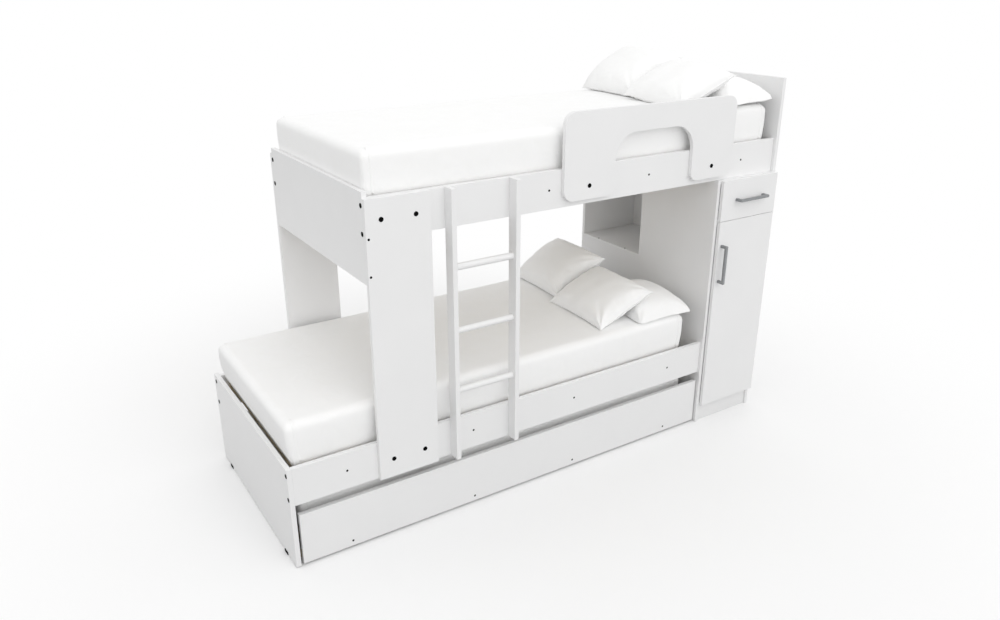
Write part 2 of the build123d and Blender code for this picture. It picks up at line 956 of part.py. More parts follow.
def caster_wheels(y):
    """One row of wheels on a common line."""
    wheel = rod(caster_radius, -caster_width / 2, caster_width / 2)
    wheel = fillet(wheel.edges(), caster_wall)
    bore = rod(caster_axle_radius + caster_axle_gap, -caster_width, caster_width)
    wheel = wheel - bore
    return [standing(wheel, Vector(x, y, caster_radius), RIGHT) for x in caster_columns_x()]


# Soft pieces

def mattress_levels(height):
    """Heights of the mattress's level outlines, each with how far it stands in."""
    levels = []
    for k in range(mattress_arc_steps + 1):
        turn = math.radians(90) * k / mattress_arc_steps
        levels.append((mattress_round * (1 - math.cos(turn)), mattress_round * (1 - math.sin(turn))))
    top_edge = height - mattress_crown
    for share in mattress_side_shares:
        levels.append((top_edge * share, 0))
    for k in range(mattress_arc_steps, -1, -1):
        turn = math.radians(90) * k / mattress_arc_steps
        rise = top_edge - mattress_round * (1 - math.cos(turn))
        levels.append((rise, mattress_round * (1 - math.sin(turn))))
    for rise_share, inset_share in mattress_crown_shares:
        levels.append((top_edge + mattress_crown * rise_share, mattress_crown_inset * inset_share))
    return levels


def mattress(start, length, bottom, height, width=mattress_width, shift=0, foot_lean=0):
    """A soft block: drawn in below, more so at a leaning foot end, rounded and crowned."""
    sections = []
    for rise, inset in mattress_levels(height):
        fall = (1 - rise / height) ** 2
        drawn = inset + mattress_draw_in * fall
        corner = max(mattress_corner - inset, mattress_corner / 4)
        flat_length = length - 2 * drawn - foot_lean * fall
        flat = RectangleRounded(flat_length, width - 2 * drawn, corner)
        sections.append(Pos(foot_lean * fall / 2, 0, rise) * flat)
    place = Pos(start + length / 2, bed_depth / 2 + shift, bottom)
    return place * loft(sections, ruled=True)


def bowed_square(corner, middle):
    """A face of four shallow arcs through the given corner and mid-side reaches."""
    x, y = corner
    x_middle, y_middle = middle
    corners = [(-x, -y), (x, -y), (x, y), (-x, y)]
    middles = [(0, -y_middle), (x_middle, 0), (0, y_middle), (-x_middle, 0)]
    edges = [ThreePointArc(corners[k], middles[k], corners[(k + 1) % 4]) for k in range(4)]
    return make_face(edges)


def cushion_half(height, draw_in, squareness, softness):
    """Half a cushion above its seam; a negative height gives the half below."""
    sections = []
    half_length = cushion_length / 2
    half_width = cushion_width / 2
    for share in cushion_height_shares:
        edge_share = (1 - share ** (1 / softness)) ** (1 / squareness)
        corner_share = (1 - share ** (1 / (2 * softness))) ** (1 / squareness)
        corner_draw = draw_in * corner_share ** 3 * (1 - corner_share ** 2)
        edge_draw = draw_in * edge_share ** 3
        corner = (half_length * corner_share - corner_draw, half_width * corner_share - corner_draw)
        middle = (half_length * edge_share - edge_draw, half_width * edge_share - edge_draw)
        sections.append(Pos(0, 0, height * share) * bowed_square(corner, middle))
    return loft(sections)


def cushion(form):
    """A square cushion: pointed corners, drawn-in sides, a crown and a belly."""
    crown, belly, draw_in, squareness, softness = form
    above = cushion_half(crown, draw_in, squareness, softness)
    return above + cushion_half(-belly, draw_in, squareness, softness)


def laid_cushion(form, place, side_share, head_end, top):
    """Turn, lean and roll a cushion over the mattress, its belly pressed flat."""
    from_head, rise, lean, turn, roll = place
    x = head_end - from_head
    y = bed_depth / 2 + mattress_width * side_share
    posture = Rot(0, 0, turn) * Rot(roll, 0, 0) * Rot(0, -lean, 0)
    laid = Pos(x, y, top + rise) * posture * cushion(form)
    x_span = pair_about(x, cushion_width)
    y_span = pair_about(y, cushion_width)
    return laid - block(x_span, y_span, (top - cushion_width, top + touch_gap))


def bed_cushions(places, side_shares, head_end, top):
    """The three cushions at the head of one bed: back, middle, front."""
    forms = (back_cushion_form, middle_cushion_form, front_cushion_form)
    rows = zip(forms, places, side_shares)
    return [laid_cushion(form, place, share, head_end, top) for form, place, share in rows]


# Write the sub-parts

save("end_board", end_board())
save("floor_glides", glides())
save("lower_front_rail", rail(board, front_span(), lower_rail_bottom, lower_rail_height))
save("lower_back_rail", rail(board, back_span(), lower_rail_bottom, lower_rail_height))
save("front_leg", leg((-board, 0)))
save("back_leg", leg((bed_depth, back_face)))
save("footboard", footboard())
save("upper_front_rail", rail(upper_start + board, front_span(), upper_rail_bottom, upper_rail_height))
save("upper_back_rail", rail(upper_start + board, back_span(), upper_rail_bottom, upper_rail_height))
save("headboard", headboard())
save("guardrail", guardrail())
save("ladder_left_stile", stile(stile_left))
save("ladder_right_stile", stile(stile_right))
save("ladder_rungs", rungs())
save("lower_ledgers", ledgers(board, lower_rail_middle, frame_holes))
save("upper_ledgers", ledgers(upper_start + board, upper_rail_middle, frame_holes))
save("lower_slats", slats(board, bay_length, lower_deck - slat_thickness, slat_count))
save("upper_slats", slats(upper_start + board, bay_length, upper_deck - slat_thickness, slat_count))
save("connector_bolts", [bolt(*place) for place in bolt_list])
save("frame_screws", [screw(*place) for place in screw_list])

save("cabinet_left_side", drilled(cabinet_left_side(), pin_holes()))
save("cabinet_right_side", drilled(cabinet_right_side(), pin_holes()))
save("cabinet_top", cabinet_top())
save("cabinet_back", cabinet_back())
save("cabinet_bottom", cabinet_bottom())
save("cabinet_plinth", cabinet_plinth())
save("niche_floor", niche_floor())
save("niche_divider", niche_divider())
save("drawer_deck", drawer_deck())
save("closet_shelf", closet_shelf())
save("shelf_pins", shelf_pins())
save("drawer_runners", drawer_runners())
save("hinge_arms", hinge_arms())

save("drawer_front", drawer_front())
save("drawer_sides", drawer_sides())
save("drawer_back", drawer_back())
save("drawer_bottom", drawer_bottom())
save("drawer_slides", drawer_slides())
save("drawer_handle", handle_set(drawer_handle_place, RIGHT))

save("door_panel", door_panel())
save("door_handle", handle_set(door_handle_place, UP))
save("hinge_cups", hinge_cups())

save("trundle_front", trundle_front())
save("trundle_back", trundle_back())
save("trundle_crossbars", trundle_crossbars())
save("trundle_ledgers", ledgers(trundle_bay_start(), trundle_ledger_middle, trundle_holes))
save("trundle_slats", trundle_slats())
save("trundle_screws", [screw(*place) for place in trundle_screw_list])
save("caster_forks", caster_forks())
save("front_wheels", caster_wheels(caster_rows()[0]))
save("back_wheels", caster_wheels(caster_rows()[1]))

lower_start = board + lower_mattress_start
save(
    "lower_mattress",
    mattress(
        lower_start,
        lower_mattress_length,
        lower_deck,
        lower_mattress_height,
        foot_lean=lower_mattress_foot_lean,
    ),
)
upper_mattress_left = upper_start + board + upper_mattress_start
save(
    "upper_mattress",
    mattress(upper_mattress_left, upper_mattress_length, upper_deck, upper_mattress_height),
)
trundle_left = trundle_start + trundle_mattress_start
trundle_mattress_room = trundle_mattress_front_room + trundle_mattress_back_room
save(
    "trundle_mattress",
    mattress(
        trundle_left,
        trundle_mattress_length,
        trundle_deck,
        trundle_mattress_height,
        rail_gap - trundle_mattress_room,
        (trundle_mattress_front_room - trundle_mattress_back_room) / 2,
    ),
)

lower_end = lower_start + lower_mattress_length
upper_end = upper_mattress_left + upper_mattress_length
lower_top = lower_deck + lower_mattress_height
upper_top = upper_deck + upper_mattress_height
for bed, places, side_shares, end, top in (
    ("lower", lower_cushion_places, lower_cushion_side_shares, lower_end, lower_top),
    ("upper", upper_cushion_places, upper_cushion_side_shares, upper_end, upper_top),
):
    back, middle, front = bed_cushions(places, side_shares, end, top)
    save(f"{bed}_back_cushion", back)
    save(f"{bed}_middle_cushion", middle)
    save(f"{bed}_front_cushion", front)
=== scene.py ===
import json
import math

import bpy
import numpy as np
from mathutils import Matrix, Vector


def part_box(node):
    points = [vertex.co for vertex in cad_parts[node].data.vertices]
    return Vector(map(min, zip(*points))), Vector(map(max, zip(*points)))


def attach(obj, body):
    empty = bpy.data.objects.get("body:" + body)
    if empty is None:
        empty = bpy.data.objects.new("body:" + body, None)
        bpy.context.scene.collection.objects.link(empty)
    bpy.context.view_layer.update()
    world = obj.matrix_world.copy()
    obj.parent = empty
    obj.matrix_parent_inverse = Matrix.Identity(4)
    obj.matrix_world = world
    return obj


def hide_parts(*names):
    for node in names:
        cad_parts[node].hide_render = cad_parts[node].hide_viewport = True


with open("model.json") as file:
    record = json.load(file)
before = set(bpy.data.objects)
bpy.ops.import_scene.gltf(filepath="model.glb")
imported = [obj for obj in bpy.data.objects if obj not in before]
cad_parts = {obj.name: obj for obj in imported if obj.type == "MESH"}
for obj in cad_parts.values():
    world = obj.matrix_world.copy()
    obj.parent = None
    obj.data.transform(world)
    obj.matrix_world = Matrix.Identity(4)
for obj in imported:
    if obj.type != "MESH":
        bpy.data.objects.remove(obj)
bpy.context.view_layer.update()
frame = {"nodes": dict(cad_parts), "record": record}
MM = 0.001


# Camera: 830 px of focal length on a frame 1000 px wide, 1.93 m above the floor, with how
# far it looks down and to the right in radians

SENSOR_WIDTH = 36.0
FOCAL_SHARE = 830 / 1000
LOOKS_DOWN = 0.3832
LOOKS_RIGHT = 0.5744

camera_data = bpy.data.cameras.new("camera")
camera_data.sensor_width = SENSOR_WIDTH
camera_data.lens = FOCAL_SHARE * SENSOR_WIDTH
camera = bpy.data.objects.new("camera", camera_data)
camera.location = (-1.8173, -2.7710, 1.9270)
camera.rotation_euler = (math.pi / 2 - LOOKS_DOWN, 0.0, -LOOKS_RIGHT)
bpy.context.scene.collection.objects.link(camera)
bpy.context.scene.camera = camera


# Colours and nodes. A colour Mix node's sockets go by number: its factor, its two colours
# and its result.

FACTOR, DARK, LIGHT = 0, 6, 7
RESULT = 2


def linear(code):
    """An sRGB hex code as linear RGBA: each share is raised to 2.4, the darkest ones scaled."""
    shares = np.array([int(code[k : k + 2], 16) for k in (1, 3, 5)]) / 255
    bright = ((shares + 0.055) / 1.055) ** 2.4
    return (*np.where(shares <= 0.04045, shares / 12.92, bright), 1.0)


def add(tree, kind, settings=None, sockets=None):
    """Adds a node, sets its properties, and fills or links its input sockets."""
    made = tree.nodes.new(kind)
    for key, value in (settings or {}).items():
        setattr(made, key, value)
    for key, value in (sockets or {}).items():
        if isinstance(value, bpy.types.NodeSocket):
            tree.links.new(value, made.inputs[key])
        else:
            made.inputs[key].default_value = value
    return made


def new_material(name):
    """An empty node material."""
    made = bpy.data.materials.new(name)
    made.use_nodes = True
    made.node_tree.nodes.clear()
    return made, made.node_tree


def seen_directly(tree):
    """1 for the rays by which a picture or a shiny thing sees the surface, 0 for light."""
    rays = add(tree, "ShaderNodeLightPath")
    camera_or_glossy = add(
        tree,
        "ShaderNodeMath",
        {"operation": "MAXIMUM"},
        {0: rays.outputs["Is Camera Ray"], 1: rays.outputs["Is Glossy Ray"]},
    )
    seen = add(
        tree,
        "ShaderNodeMath",
        {"operation": "MAXIMUM"},
        {0: camera_or_glossy.outputs[0], 1: rays.outputs["Is Transmission Ray"]},
    )
    return seen.outputs[0]


# Materials. A noise mostly stays within the range below.

NOISE_LOW, NOISE_HIGH = 0.3, 0.7


def white_melamine():
    """Melamine-faced board, pressed and edge-banded: an even white with a low silky sheen,
    a faint cloudiness of the paper and a fine pressed grain that breaks up highlights.
    The pressed grain is really 0.3 mm; it is drawn at 2.5 mm so that it shows."""
    made, tree = new_material("white_melamine_board")
    where = add(tree, "ShaderNodeTexCoord").outputs["Object"]
    cloud = add(
        tree,
        "ShaderNodeTexNoise",
        sockets={"Vector": where, "Scale": 1 / (160 * MM), "Detail": 3.0},
    )
    grain = add(
        tree,
        "ShaderNodeTexNoise",
        sockets={"Vector": where, "Scale": 1 / (2.5 * MM), "Detail": 4.0},
    )
    shade = add(
        tree,
        "ShaderNodeMix",
        {"data_type": "RGBA"},
        {FACTOR: cloud.outputs["Fac"], DARK: linear("#EDEDED"), LIGHT: linear("#F1F1F1")},
    )
    sheen = add(
        tree,
        "ShaderNodeMapRange",
        sockets={
            "Value": grain.outputs["Fac"],
            "From Min": NOISE_LOW,
            "From Max": NOISE_HIGH,
            "To Min": 0.36,
            "To Max": 0.46,
        },
    )
    bump = add(
        tree,
        "ShaderNodeBump",
        sockets={"Height": grain.outputs["Fac"], "Strength": 0.10, "Distance": 0.25 * MM},
    )
    shader = add(
        tree,
        "ShaderNodeBsdfPrincipled",
        sockets={
            "Base Color": shade.outputs[RESULT],
            "Roughness": sheen.outputs["Result"],
            "Normal": bump.outputs["Normal"],
            "IOR": 1.5,
            "Specular IOR Level": 0.35,
        },
    )
    add(tree, "ShaderNodeOutputMaterial", sockets={"Surface": shader.outputs[0]})
    return made


def painted_hardboard():
    """Thin hardboard, painted white on its smooth side: flatter than melamine, with the fibres'
    faint mottling, 6 mm across."""
    made, tree = new_material("painted_hardboard")
    where = add(tree, "ShaderNodeTexCoord").outputs["Object"]
    fibre = add(
        tree,
        "ShaderNodeTexNoise",
        sockets={"Vector": where, "Scale": 1 / (6 * MM), "Detail": 5.0},
    )
    shade = add(
        tree,
        "ShaderNodeMix",
        {"data_type": "RGBA"},
        {FACTOR: fibre.outputs["Fac"], DARK: linear("#E4E4E3"), LIGHT: linear("#ECECEB")},
    )
    bump = add(
        tree,
        "ShaderNodeBump",
        sockets={"Height": fibre.outputs["Fac"], "Strength": 0.2, "Distance": 0.3 * MM},
    )
    shader = add(
        tree,
        "ShaderNodeBsdfPrincipled",
        sockets={
            "Base Color": shade.outputs[RESULT],
            "Roughness": 0.62,
            "Normal": bump.outputs["Normal"],
            "IOR": 1.5,
        },
    )
    add(tree, "ShaderNodeOutputMaterial", sockets={"Surface": shader.outputs[0]})
    return made


def sanded_pine(name, stretch):
    """Pine, sawn and sanded: pale straw with darker latewood lines some 7 mm apart that run
    along the strip, and fine pores; the stretch is small along the grain. The lines are a
    slow noise folded back and forth at each line's share of its range."""
    line_share = 0.09
    made, tree = new_material(name)
    where = add(tree, "ShaderNodeTexCoord").outputs["Object"]
    along = add(tree, "ShaderNodeMapping", sockets={"Vector": where, "Scale": stretch})
    rings = add(
        tree,
        "ShaderNodeTexNoise",
        sockets={
            "Vector": along.outputs[0],
            "Scale": 1 / (14 * MM),
            "Detail": 2.0,
            "Distortion": 0.6,
        },
    )
    lines = add(
        tree,
        "ShaderNodeMath",
        {"operation": "PINGPONG"},
        {0: rings.outputs["Fac"], 1: line_share},
    )
    spread = add(
        tree,
        "ShaderNodeMapRange",
        sockets={
            "Value": lines.outputs[0],
            "From Min": 0.0,
            "From Max": line_share,
            "To Min": 0.0,
            "To Max": 1.0,
        },
    )
    shade = add(
        tree,
        "ShaderNodeMix",
        {"data_type": "RGBA"},
        {FACTOR: spread.outputs["Result"], DARK: linear("#D6C09C"), LIGHT: linear("#E8DABE")},
    )
    pores = add(
        tree,
        "ShaderNodeTexNoise",
        sockets={"Vector": along.outputs[0], "Scale": 1 / (2 * MM), "Detail": 3.0},
    )
    bump = add(
        tree,
        "ShaderNodeBump",
        sockets={"Height": pores.outputs["Fac"], "Strength": 0.3, "Distance": 0.3 * MM},
    )
    shader = add(
        tree,
        "ShaderNodeBsdfPrincipled",
        sockets={
            "Base Color": shade.outputs[RESULT],
            "Roughness": 0.58,
            "Normal": bump.outputs["Normal"],
            "IOR": 1.5,
        },
    )
    add(tree, "ShaderNodeOutputMaterial", sockets={"Surface": shader.outputs[0]})
    return made


def woven_cotton():
    """Cotton percale, plain-woven and washed: bright matt white with a soft rim of fuzz,
    a square weave and slack folds. Threads are really 0.3 mm apart; they are drawn 3 mm
    apart so that they show. The weave follows the cloth's own map, which is in metres."""
    made, tree = new_material("woven_cotton")
    cloth = add(tree, "ShaderNodeUVMap", {"uv_map": "cloth"}).outputs["UV"]
    parts = add(tree, "ShaderNodeSeparateXYZ", sockets={"Vector": cloth})
    thread = 2 * math.pi / (3.0 * MM)
    waves = []
    for part in ("X", "Y"):
        turn = add(
            tree,
            "ShaderNodeMath",
            {"operation": "MULTIPLY"},
            {0: parts.outputs[part], 1: thread},
        )
        wave = add(tree, "ShaderNodeMath", {"operation": "SINE"}, {0: turn.outputs[0]})
        waves.append(wave.outputs[0])
    weave = add(tree, "ShaderNodeMath", {"operation": "MULTIPLY"}, {0: waves[0], 1: waves[1]})
    slack = add(
        tree,
        "ShaderNodeTexNoise",
        {"noise_dimensions": "2D"},
        {
            "Vector": cloth,
            "Scale": 1 / (70 * MM),
            "Detail": 4.0,
            "Roughness": 0.45,
            "Distortion": 0.5,
        },
    )
    shade = add(
        tree,
        "ShaderNodeMix",
        {"data_type": "RGBA"},
        {FACTOR: slack.outputs["Fac"], DARK: linear("#F8F8F7"), LIGHT: linear("#FBFBFB")},
    )
    fine = add(
        tree,
        "ShaderNodeBump",
        sockets={"Height": weave.outputs[0], "Strength": 0.12, "Distance": 0.35 * MM},
    )
    folds = add(
        tree,
        "ShaderNodeBump",
        sockets={
            "Height": slack.outputs["Fac"],
            "Strength": 0.35,
            "Distance": 5 * MM,
            "Normal": fine.outputs["Normal"],
        },
    )
    shader = add(
        tree,
        "ShaderNodeBsdfPrincipled",
        sockets={
            "Base Color": shade.outputs[RESULT],
            "Roughness": 0.9,
            "Sheen Weight": 0.15,
            "Sheen Roughness": 0.5,
            "Normal": folds.outputs["Normal"],
            "IOR": 1.5,
            "Specular IOR Level": 0.2,
        },
    )
    add(tree, "ShaderNodeOutputMaterial", sockets={"Surface": shader.outputs[0]})
    return made


def moulded_plastic(name, dark, light, roughness, sheen):
    """Moulded nylon: dark, with the given share of gloss, and the mould's spark-eroded grain
    drawn 1.2 mm wide."""
    made, tree = new_material(name)
    where = add(tree, "ShaderNodeTexCoord").outputs["Object"]
    grain = add(
        tree,
        "ShaderNodeTexNoise",
        sockets={"Vector": where, "Scale": 1 / (1.2 * MM), "Detail": 3.0},
    )
    shade = add(
        tree,
        "ShaderNodeMix",
        {"data_type": "RGBA"},
        {FACTOR: grain.outputs["Fac"], DARK: linear(dark), LIGHT: linear(light)},
    )
    bump = add(
        tree,
        "ShaderNodeBump",
        sockets={"Height": grain.outputs["Fac"], "Strength": 0.25, "Distance": 0.1 * MM},
    )
    shader = add(
        tree,
        "ShaderNodeBsdfPrincipled",
        sockets={
            "Base Color": shade.outputs[RESULT],
            "Roughness": roughness,
            "Normal": bump.outputs["Normal"],
            "IOR": 1.5,
            "Specular IOR Level": sheen,
        },
    )
    add(tree, "ShaderNodeOutputMaterial", sockets={"Surface": shader.outputs[0]})
    return made


def worked_metal(name, dark, light, roughness, stretch):
    """Metal with a directional surface: fine scratches 0.6 mm apart, long along the stretch's
    smallest axis, which widen the highlight across them."""
    spread = 0.06
    made, tree = new_material(name)
    where = add(tree, "ShaderNodeTexCoord").outputs["Object"]
    along = add(tree, "ShaderNodeMapping", sockets={"Vector": where, "Scale": stretch})
    scratch = add(
        tree,
        "ShaderNodeTexNoise",
        sockets={"Vector": along.outputs[0], "Scale": 1 / (0.6 * MM), "Detail": 3.0},
    )
    shade = add(
        tree,
        "ShaderNodeMix",
        {"data_type": "RGBA"},
        {FACTOR: scratch.outputs["Fac"], DARK: linear(dark), LIGHT: linear(light)},
    )
    rough = add(
        tree,
        "ShaderNodeMapRange",
        sockets={
            "Value": scratch.outputs["Fac"],
            "From Min": NOISE_LOW,
            "From Max": NOISE_HIGH,
            "To Min": roughness - spread,
            "To Max": roughness + spread,
        },
    )
    bump = add(
        tree,
        "ShaderNodeBump",
        sockets={"Height": scratch.outputs["Fac"], "Strength": 0.15, "Distance": 0.05 * MM},
    )
    shader = add(
        tree,
        "ShaderNodeBsdfPrincipled",
        sockets={
            "Base Color": shade.outputs[RESULT],
            "Metallic": 1.0,
            "Roughness": rough.outputs["Result"],
            "Normal": bump.outputs["Normal"],
        },
    )
    add(tree, "ShaderNodeOutputMaterial", sockets={"Surface": shader.outputs[0]})
    return made


cotton = woven_cotton()
finishes = {
    "white_board": white_melamine(),
    "thin_board": painted_hardboard(),
    "raw_wood": sanded_pine("sanded_pine_across", (1.0, 0.06, 1.0)),
    "bedding": cotton,
    "black_fasteners": moulded_plastic("black_caps", "#020202", "#060606", 0.6, 0.05),
    "black_plastic": moulded_plastic("black_nylon", "#030303", "#080808", 0.6, 0.05),
    "wheel_plastic": moulded_plastic("grey_black_nylon", "#1A1A1A", "#262626", 0.55, 0.4),
    "satin_handle": worked_metal("satin_nickel", "#8A8C8E", "#A0A2A4", 0.36, (0.05, 1.0, 0.05)),
    "steel": worked_metal("zinc_plated_steel", "#A9ABAE", "#C2C4C8", 0.34, (1.0, 0.08, 1.0)),
}
pine_along = sanded_pine("sanded_pine_along", (0.06, 1.0, 1.0))
lengthwise = ("lower_ledgers", "upper_ledgers", "trundle_ledgers")
for part in frame["record"]["subparts"]:
    node_mesh = frame["nodes"][part["node"]].data
    finish = pine_along if part["node"] in lengthwise else finishes[part["material_slot"]]
    node_mesh.materials.clear()
    node_mesh.materials.append(finish)


# Cloth pieces

TINY = 1e-9


def smooth_step(value):
    """0 below 0, 1 above 1, and 3 t squared less 2 t cubed between."""
    t = np.clip(value, 0, 1)
    return t * t * (3 - 2 * t)


def sway(a, b, seed, shortest, longest):
    """A soft unevenness, mostly between -1 and 1: a third of the sum of six plane sine waves
    over the metres a and b, of seeded directions, phases and wavelengths."""
    draw = np.random.default_rng(seed)
    total = np.zeros_like(a)
    for _ in range(6):
        heading, phase = draw.uniform(0, 2 * math.pi, 2)
        wave = 2 * math.pi / draw.uniform(shortest, longest)
        total += np.sin(wave * (a * math.cos(heading) + b * math.sin(heading)) + phase)
    return total / 3


def positions(mesh):
    """A mesh's points, one to a row."""
    flat = np.zeros(len(mesh.vertices) * 3, dtype=np.float32)
    mesh.vertices.foreach_get("co", flat)
    return flat.reshape(-1, 3)


def set_positions(mesh, points):
    """Moves a mesh's points to the array's rows."""
    mesh.vertices.foreach_set("co", points.astype(np.float32).ravel())
    mesh.update()


def grid_quads(index):
    """The four-cornered faces of a grid of point numbers."""
    corners = [index[:-1, :-1], index[1:, :-1], index[1:, 1:], index[:-1, 1:]]
    return np.stack(corners, axis=-1).reshape(-1, 4)


def piece_of_cloth(name, points, faces, uv):
    """A smooth mesh of the points and faces, with its map in metres, in cotton."""
    mesh = bpy.data.meshes.new(name)
    mesh.from_pydata(points.tolist(), [], [list(face) for face in faces])
    corner_points = np.zeros(len(mesh.loops), dtype=np.int32)
    mesh.loops.foreach_get("vertex_index", corner_points)
    layer = mesh.uv_layers.new(name="cloth")
    layer.data.foreach_set("uv", uv[corner_points].astype(np.float32).ravel())
    mesh.polygons.foreach_set("use_smooth", np.ones(len(mesh.polygons), dtype=bool))
    mesh.materials.append(cotton)
    mesh.update()
    made = bpy.data.objects.new(name, mesh)
    bpy.context.scene.collection.objects.link(made)
    return made


def envelope(top, below):
    """Two grids of points, of one shape and with one common rim, as one closed shell:
    the points, the faces of both sides, and for each point its place in the upper grid."""
    rows, columns = top.shape[:2]
    upper = np.arange(rows * columns).reshape(rows, columns)
    lower = upper.copy()
    inner = (rows - 2) * (columns - 2)
    lower[1:-1, 1:-1] = rows * columns + np.arange(inner).reshape(rows - 2, columns - 2)
    points = np.concatenate([top.reshape(-1, 3), below[1:-1, 1:-1].reshape(-1, 3)])
    faces = np.concatenate([grid_quads(upper), grid_quads(lower)[:, ::-1]])
    source = np.concatenate([upper.ravel(), upper[1:-1, 1:-1].ravel()])
    return points, faces, source


# Mattresses

EDGE_RADIUS = 32 * MM
EDGE_RINGS = 8
SIDE_RINGS = 7
CORNER_RADIUS = 18 * MM
CELL = 15 * MM
CROWN = 5 * MM
BULGE = 2 * MM
TOP_UNEVENNESS = 1.2 * MM
SIDE_UNEVENNESS = 0.8 * MM
SEAM_FROM_END = 30 * MM
SEAM_WIDTH = 8 * MM
SEAM_RISE = 1.1 * MM
SEAM_POINTS = 26
SEAM_SINK = CROWN * 0.95


def felled_seam(path, outward):
    """A flat seam sewn on a surface: a low rounded strip, its cross-section a superellipse
    SEAM_WIDTH wide and SEAM_RISE proud, carried down the path along the outward directions."""
    turn = np.linspace(0, 2 * math.pi, 17)[:-1]
    across = SEAM_WIDTH / 2 * np.sign(np.cos(turn)) * np.abs(np.cos(turn)) ** 0.5
    proud = SEAM_RISE * np.sign(np.sin(turn)) * np.abs(np.sin(turn)) ** 0.8
    side = np.array([1.0, 0.0, 0.0])
    points = path[:, None] + across[None, :, None] * side + proud[None, :, None] * outward[:, None]
    rows, loop = points.shape[:2]
    index = np.arange(rows * loop).reshape(rows, loop)
    turned = np.roll(index, -1, axis=1)
    quads = np.stack([index[:-1], index[1:], turned[1:], turned[:-1]], axis=-1).reshape(-1, 4)
    caps = [index[0], index[-1][::-1]]
    return points.reshape(-1, 3), quads, caps


def grid_axis(flat_half, rings):
    """The lines of a mattress's grid along one axis: each one's place on the flat top, the
    number of its ring beyond it, and its side, -1 or 1, or 0 on the flat."""
    cells = round(2 * flat_half / CELL)
    inner = np.linspace(-flat_half, flat_half, cells + 1)
    outward = np.arange(1, rings + 1)
    place = np.concatenate([np.full(rings, -flat_half), inner, np.full(rings, flat_half)])
    ring = np.concatenate([outward[::-1], np.zeros(cells + 1, int), outward])
    side = np.concatenate([-np.ones(rings), np.zeros(cells + 1), np.ones(rings)])
    return place, ring, side


